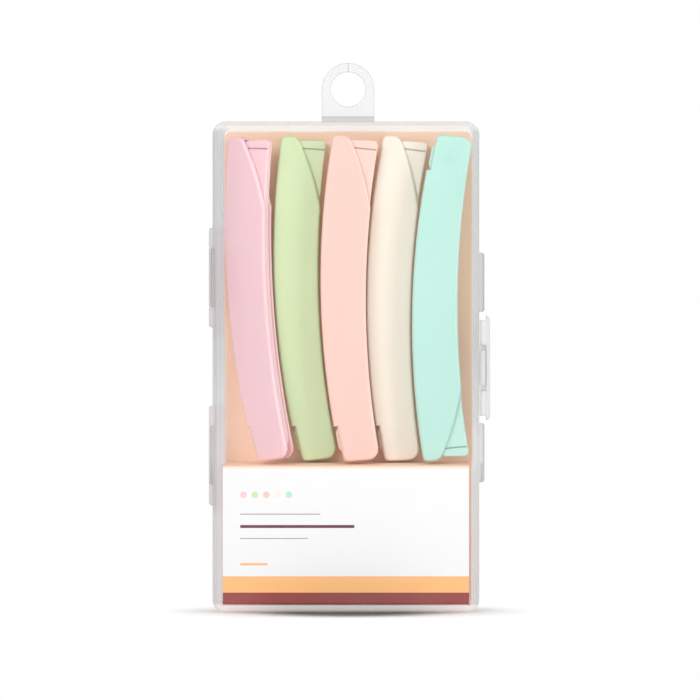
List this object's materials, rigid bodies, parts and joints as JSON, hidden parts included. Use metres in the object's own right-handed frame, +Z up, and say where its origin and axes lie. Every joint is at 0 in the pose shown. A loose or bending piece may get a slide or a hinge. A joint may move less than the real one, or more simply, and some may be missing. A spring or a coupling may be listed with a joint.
{
  "type": "eyebrow razor set",
  "caption": "Folding eyebrow razors in soft colours, standing on a folded card in a clear hinged case with a side latch and a hang tab.",
  "frame": {"origin": "under the middle of the part's box, on the surface the case stands on", "axes": "+Z up along the case, +X to the viewer's right (latch side), -Y out of the clear front"},
  "size_m": [0.0844, 0.0176, 0.1651],
  "materials": {
    "tray_plastic": "clear, lightly frosted",
    "lid_plastic": "clear, glossy, stands for clear moulded plastic",
    "latch_plastic": "clear, lightly frosted",
    "printed_card": "matt print",
    "blade_steel": "satin",
    "guard_plastic": "matt",
    "pin_steel": "satin",
    "pink_plastic": "soft gloss",
    "green_plastic": "soft gloss",
    "salmon_plastic": "soft gloss",
    "cream_plastic": "soft gloss",
    "mint_plastic": "soft gloss"
  },
  "bodies": {
    "case": {"case_tray": "tray_plastic", "hang_tab": "tray_plastic", "card_insert": "printed_card", "pink_handle": "pink_plastic", "green_handle": "green_plastic", "salmon_handle": "salmon_plastic", "cream_handle": "cream_plastic", "mint_handle": "mint_plastic", "pink_pivot_pin": "pin_steel", "green_pivot_pin": "pin_steel", "salmon_pivot_pin": "pin_steel", "cream_pivot_pin": "pin_steel", "mint_pivot_pin": "pin_steel"},
    "lid": {"case_lid": "lid_plastic"},
    "latch": {"case_latch": "latch_plastic"},
    "pink_arm": {"pink_arm": "pink_plastic", "pink_blade": "blade_steel", "pink_blade_guard": "guard_plastic"},
    "green_arm": {"green_arm": "green_plastic", "green_blade": "blade_steel", "green_blade_guard": "guard_plastic"},
    "salmon_arm": {"salmon_arm": "salmon_plastic", "salmon_blade": "blade_steel", "salmon_blade_guard": "guard_plastic"},
    "cream_arm": {"cream_arm": "cream_plastic", "cream_blade": "blade_steel", "cream_blade_guard": "guard_plastic"},
    "mint_arm": {"mint_arm": "mint_plastic", "mint_blade": "blade_steel", "mint_blade_guard": "guard_plastic"}
  },
  "joints": [
    {"name": "lid_hinge", "type": "hinge", "parent": "case", "child": "lid", "pos_m": [-0.04108, -0.001, 0.074], "axis": [0, 0, -1], "range_deg": [0, 180]},
    {"name": "latch_hinge", "type": "hinge", "parent": "lid", "child": "latch", "pos_m": [0.04013, -0.0066, 0.0734], "axis": [0, 0, -1], "range_deg": [0, 100]},
    {"name": "pink_arm_hinge", "type": "hinge", "parent": "case", "child": "pink_arm", "pos_m": [-0.02382, -0.00117, 0.05271], "axis": [0.4997, 0.866, 0.0183], "range_deg": [0, 4]},
    {"name": "green_arm_hinge", "type": "hinge", "parent": "case", "child": "green_arm", "pos_m": [-0.01087, 0.0043, 0.05265], "axis": [0, 1, 0], "range_deg": [0, 10]},
    {"name": "salmon_arm_hinge", "type": "hinge", "parent": "case", "child": "salmon_arm", "pos_m": [0.00198, -0.0011, 0.05258], "axis": [0, 1, 0], "range_deg": [0, 9.5]},
    {"name": "cream_arm_hinge", "type": "hinge", "parent": "case", "child": "cream_arm", "pos_m": [0.01439, 0.0043, 0.05251], "axis": [0, 1, 0], "range_deg": [0, 8.5]},
    {"name": "mint_arm_hinge", "type": "hinge", "parent": "case", "child": "mint_arm", "pos_m": [0.02993, -0.0011, 0.13601], "axis": [0, -1, 0], "range_deg": [0, 0.6]}
  ]
}
